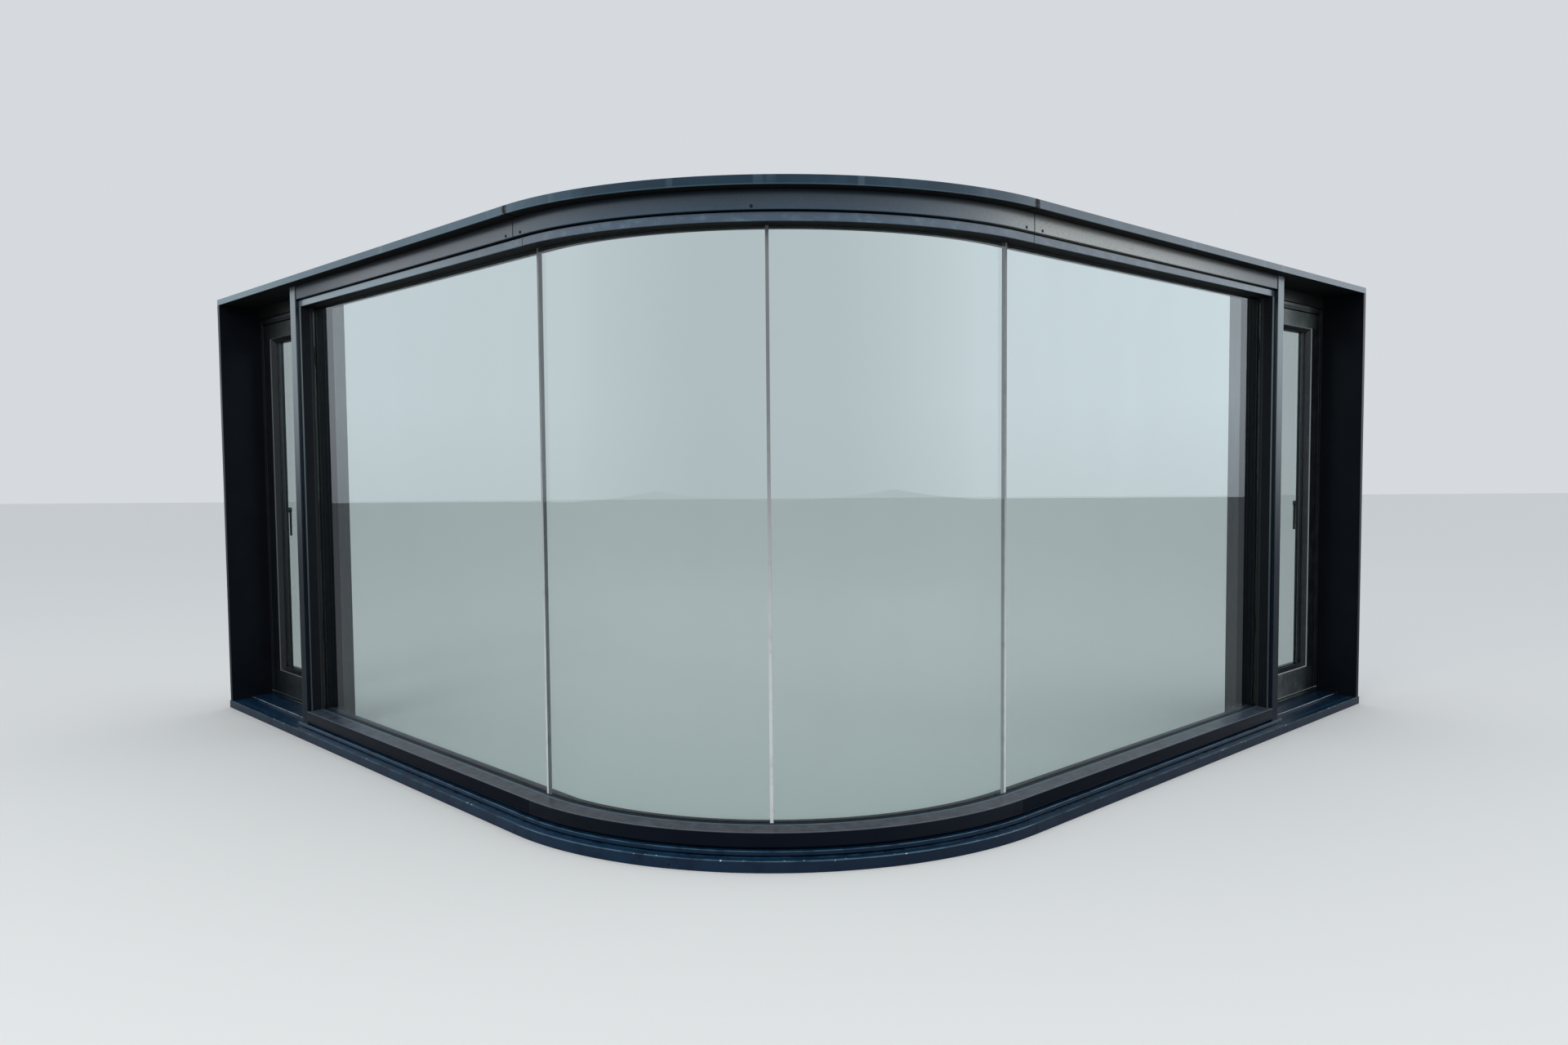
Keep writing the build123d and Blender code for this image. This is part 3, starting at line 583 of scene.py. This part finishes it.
# The finish of each kind of node
finishes = {
    "head_trim": trim_coat,
    "fascia": fascia_coat,
    "head_rail": band_coat,
    "sill": sill_coat,
    "box_sill": sill_coat,
    "bottom_rail": rail_coat,
    "vent_sill": sill_coat,
    "reveal": recess_coat,
    "glazing_jamb": jamb_coat,
    "end_post": post_coat,
    "vent_infill": infill_coat,
    "vent_frame": sash_coat,
    "sash_frame": sash_coat,
    "sash_beads": sash_coat,
    "glass_joints": silicone,
    "glass": glass,
    "glass_bow": glass,
    "sash_glass": glass,
    "outer_gasket": black_rubber,
    "inner_gasket": black_rubber,
    "sash_seal": black_rubber,
    "setting_blocks": block_rubber,
    "frame_leaves": hinge_black,
    "sash_leaves": hinge_black,
    "hinge_pins": bare_steel,
    "handle_base": handle_black,
    "handle_lever": handle_black,
    "keeper": bare_steel,
}


def kind_of(name):
    """A node's name without its side, as the finishes name it."""
    for ending in ("_left", "_right", "_bow"):
        name = name.removesuffix(ending) if name not in finishes else name
    return name


for name, piece in nodes.items():
    for holder in piece.material_slots:
        holder.material = finishes[kind_of(name)]

# Width of the rounded folds, by kind of node; 0 only shades bent faces smooth
fold_widths = {
    "head_trim": 0.0012,
    "fascia": 0.0012,
    "head_rail": 0.0010,
    "sill": 0.0011,
    "box_sill": 0.0013,
    "bottom_rail": 0.0009,
    "vent_sill": 0.0012,
    "reveal": 0.0012,
    "glazing_jamb": 0.0012,
    "end_post": 0.0013,
    "vent_infill": 0.0012,
    "vent_frame": 0.0015,
    "sash_beads": 0.0006,
    "sash_frame": 0.0,
    "glass_bow": 0.0,
    "glass_joints": 0.0,
    "outer_gasket": 0.0,
    "inner_gasket": 0.0,
    "handle_base": 0.0008,
    "handle_lever": 0.0016,
    "hinge_pins": 0.0008,
}
fold_angle = radians(55)    # edges turned by more than this are folds
shortest_fold = 0.008
smooth_angle = radians(18)  # faces turned by less than this are one bent face


def refine(name, width):
    """A copy of a node's shape in its own place, with rounded folds and smooth bent faces."""
    shape = nodes[name].data.copy()
    mesh = bmesh.new()
    mesh.from_mesh(shape)
    bmesh.ops.remove_doubles(mesh, verts=mesh.verts, dist=0.00001)
    bmesh.ops.dissolve_limit(
        mesh, angle_limit=radians(0.5), verts=mesh.verts, edges=mesh.edges, delimit={"NORMAL"}
    )
    if width:
        folds = [
            edge for edge in mesh.edges
            if edge.is_manifold
            and edge.calc_face_angle() > fold_angle
            and edge.calc_length() > shortest_fold
        ]
        bmesh.ops.bevel(
            mesh, geom=folds, offset=width, offset_type="OFFSET", segments=2, profile=0.5,
            affect="EDGES", material=-1, clamp_overlap=False,
        )
    mesh.to_mesh(shape)
    mesh.free()
    shape.shade_smooth()
    shape.set_sharp_from_angle(angle=smooth_angle)
    piece = bpy.data.objects.new(name + "_finished", shape)
    bpy.context.scene.collection.objects.link(piece)
    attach(piece, body_of(nodes[name])[0])
    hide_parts(name)


for name in nodes:
    if kind_of(name) in fold_widths:
        refine(name, fold_widths[kind_of(name)])

# Radius and height of each kind of screw's head
sheet_screw = (0.0045, 0.002)
hinge_screw = (0.0042, 0.0009)
plate_screw = (0.0036, 0.0009)
strike_screw = (0.0036, 0.0003)


def screw_heads(name, node, size, seats, finish):
    """Pan heads with a drive recess, on a node's body; a seat is a place and the way it faces."""
    radius, height = size
    outline = (
        (0.0, 0.0), (1.0, 0.0), (1.0, 0.35), (0.75, 0.86), (0.36, 1.0), (0.28, 0.55), (0.0, 0.55),
    )
    head = bmesh.new()
    corners = [head.verts.new((across * radius, 0, up * height)) for across, up in outline]
    sides = [head.edges.new(pair) for pair in zip(corners, corners[1:])]
    bmesh.ops.spin(
        head, geom=corners + sides, cent=(0, 0, 0), axis=(0, 0, 1), angle=2 * pi, steps=14,
        use_merge=True,
    )
    bmesh.ops.remove_doubles(head, verts=head.verts, dist=0.000001)
    bmesh.ops.recalc_face_normals(head, faces=head.faces)
    one = bpy.data.meshes.new("pan_head")
    head.to_mesh(one)
    head.free()
    row = bmesh.new()
    for place, way in seats:
        before = len(row.verts)
        row.from_mesh(one)
        row.verts.ensure_lookup_table()
        turn = way.to_track_quat("Z", "Y").to_matrix().to_4x4()
        bmesh.ops.transform(row, matrix=Matrix.Translation(place) @ turn, verts=row.verts[before:])
    shape = bpy.data.meshes.new(name)
    row.to_mesh(shape)
    row.free()
    shape.shade_smooth()
    shape.set_sharp_from_angle(angle=radians(40))
    shape.materials.append(finish)
    piece = bpy.data.objects.new(name, shape)
    bpy.context.scene.collection.objects.link(piece)
    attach(piece, body_of(nodes[node])[0])


# Screws of the fascia: one near its middle and one on each side of its two joints
middle_screw = -2.1         # degrees from the bow's middle
screw_step = 0.040          # from a joint to the screws beside it
screw_z = fascia_z + 0.008
middle_seat = (on_bow(middle_screw, fascia_radius, screw_z), bow_facing(middle_screw))
fascia_seats = {"fascia_bow": [middle_seat], "fascia_left": [], "fascia_right": []}
for side, wing in ((-1, "fascia_left"), (1, "fascia_right")):
    outer = fascia_joints[side] + screw_step
    inner = fascia_joints[side] - screw_step
    fascia_seats[wing].append((on_wing(side, outer, fascia_radius, screw_z), wing_facing(side)))
    if inner > 0:
        seat = (on_wing(side, inner, fascia_radius, screw_z), wing_facing(side))
    else:
        angle = side * (wing_angle + degrees(inner / fascia_radius))
        seat = (on_bow(angle, fascia_radius, screw_z), bow_facing(angle))
    fascia_seats["fascia_bow"].append(seat)
for node, seats in fascia_seats.items():
    screw_heads(node + "_screws", node, sheet_screw, seats, black_screw)

# The one screw in the sill's drip face
drip_screw = -14.8          # degrees from the bow's middle
drip_seat = (on_bow(drip_screw, drip_radius, 0.014), bow_facing(drip_screw))
screw_heads("drip_screw", "sill_bow", sheet_screw, [drip_seat], black_screw)

# Screws of the hinges, the handle plates and the strike plates, whose nodes are called keepers
hinge_wing = 1.792
hinge_step = 1.215          # from the foot of the lower hinge to the foot of the upper one
leaf_rises = (0.015, 0.045)
leaf_reach = 0.0195         # from the pin to the screws of each leaf
leaf_face = vent_radius + 0.003
handle_wing = 2.3795
handle_z = (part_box("handle_base_right")[0].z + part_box("handle_base_right")[1].z) / 2
plate_face = 0.843
plate_rise = 0.027
keeper_wing = 2.431         # face of the strike plates, towards the sashes
keeper_radius = 0.873
keeper_rise = 0.07
for side, wing in ((-1, "_left"), (1, "_right")):
    for leaves, way in (("frame_leaves" + wing, -1), ("sash_leaves" + wing, 1)):
        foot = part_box(leaves)[0].z
        distance = hinge_wing + way * leaf_reach
        seats = [
            (on_wing(side, distance, leaf_face, foot + step + rise), wing_facing(side))
            for step in (0, hinge_step) for rise in leaf_rises
        ]
        screw_heads(leaves + "_screws", leaves, hinge_screw, seats, hinge_black)
    seats = [
        (on_wing(side, handle_wing, plate_face, handle_z + rise), -wing_facing(side))
        for rise in (-plate_rise, plate_rise)
    ]
    plate = "handle_base" + wing
    screw_heads(plate + "_screws", plate, plate_screw, seats, bare_steel)
    inward = Vector((-side * along.x, -along.y, 0))
    seats = [
        (on_wing(side, keeper_wing, keeper_radius, handle_z + rise), inward)
        for rise in (-keeper_rise, keeper_rise)
    ]
    keeper = "keeper" + wing
    screw_heads(keeper + "_screws", keeper, strike_screw, seats, bare_steel)


def lay_floor(half_width=30):
    """A plain floor, pale to the camera and duller in the light that it throws back."""
    shape = bpy.data.meshes.new("floor")
    grid = bmesh.new()
    bmesh.ops.create_grid(grid, x_segments=1, y_segments=1, size=half_width)
    grid.to_mesh(shape)
    grid.free()
    floor = bpy.data.objects.new("floor", shape)
    bpy.context.scene.collection.objects.link(floor)
    paving = Finish("floor")
    seen = paving.node("ShaderNodeLightPath", {}, result="Is Camera Ray")
    tone = paving.blend(seen, (0.2, 0.2, 0.2), (0.66, 0.645, 0.625))
    shape.materials.append(paving.surface(Base_Color=tone, Roughness=0.8))


def light_sky(shown_level=0.78):
    """A soft surround: the product of a few ramps over its axes, and even to the camera."""
    world = bpy.data.worlds.new("studio")
    bpy.context.scene.world = world
    world.use_nodes = True
    sky = Shader(world.node_tree)
    way = sky.node("ShaderNodeTexCoord", {}, result="Generated")
    level = 1.0
    for axis, start, end, first, last in (
        ("Z", -0.2, 0.05, 0.35, 1.0),
        ("Y", -0.9, -0.1, 0.45, 1.05),
        ("Y", 0.95, 0.6, 0.35, 1.0),
        ("X", -0.3, 0.8, 1.0, 1.35),
    ):
        part = sky.node("ShaderNodeSeparateXYZ", {}, way, result=axis)
        level = level * sky.node("ShaderNodeMapRange", {}, part, start, end, first, last)
    seen = sky.node("ShaderNodeLightPath", {}, result="Is Camera Ray")
    background = sky.tree.nodes["Background"].inputs
    sky.join(background["Strength"], level * (1 - seen) + seen * shown_level)
    sky.join(background["Color"], sky.blend(seen, (0.83, 0.9, 0.965), (0.86, 0.9, 0.95)))


def hang_lamps(aim=(0, 0, 0.9)):
    """Two large soft lamps in front of the window, left of it and right of it."""
    for name, place, size, power in (
        ("key", (-3.5, -6.0, 5.5), 4.0, 260.0),
        ("fill", (5.0, -4.5, 3.0), 5.0, 90.0),
    ):
        lamp = bpy.data.lights.new(name, "AREA")
        lamp.size = size
        lamp.energy = power
        holder = bpy.data.objects.new(name, lamp)
        holder.location = place
        holder.rotation_euler = (Vector(aim) - Vector(place)).to_track_quat("-Z", "Y").to_euler()
        holder.visible_glossy = False
        bpy.context.scene.collection.objects.link(holder)


def place_camera(place=(0.1257, -4.0610, 1.0832), yaw=-1.161, pitch=-3.099, roll=-0.435):
    """The photograph's view, as fitted to the window's edges, with its turns in degrees."""
    view = bpy.data.cameras.new("view")
    view.lens = 26.05
    view.sensor_width = 36.0
    view.shift_x = -0.0057
    view.shift_y = 0.0008
    camera = bpy.data.objects.new("view", view)
    yaw, pitch, roll = radians(yaw), radians(pitch), radians(roll)
    forward = Vector((sin(yaw) * cos(pitch), cos(yaw) * cos(pitch), sin(pitch)))
    level_right = forward.cross(Vector((0, 0, 1))).normalized()
    level_up = level_right.cross(forward)
    right = level_right * cos(roll) + level_up * sin(roll)
    up = right.cross(forward)
    turn = Matrix((right, up, -forward)).transposed()
    camera.matrix_world = Matrix.Translation(place) @ turn.to_4x4()
    bpy.context.scene.collection.objects.link(camera)
    bpy.context.scene.camera = camera


lay_floor()
light_sky()
hang_lamps()
place_camera()
bpy.context.scene.view_settings.view_transform = "Standard"
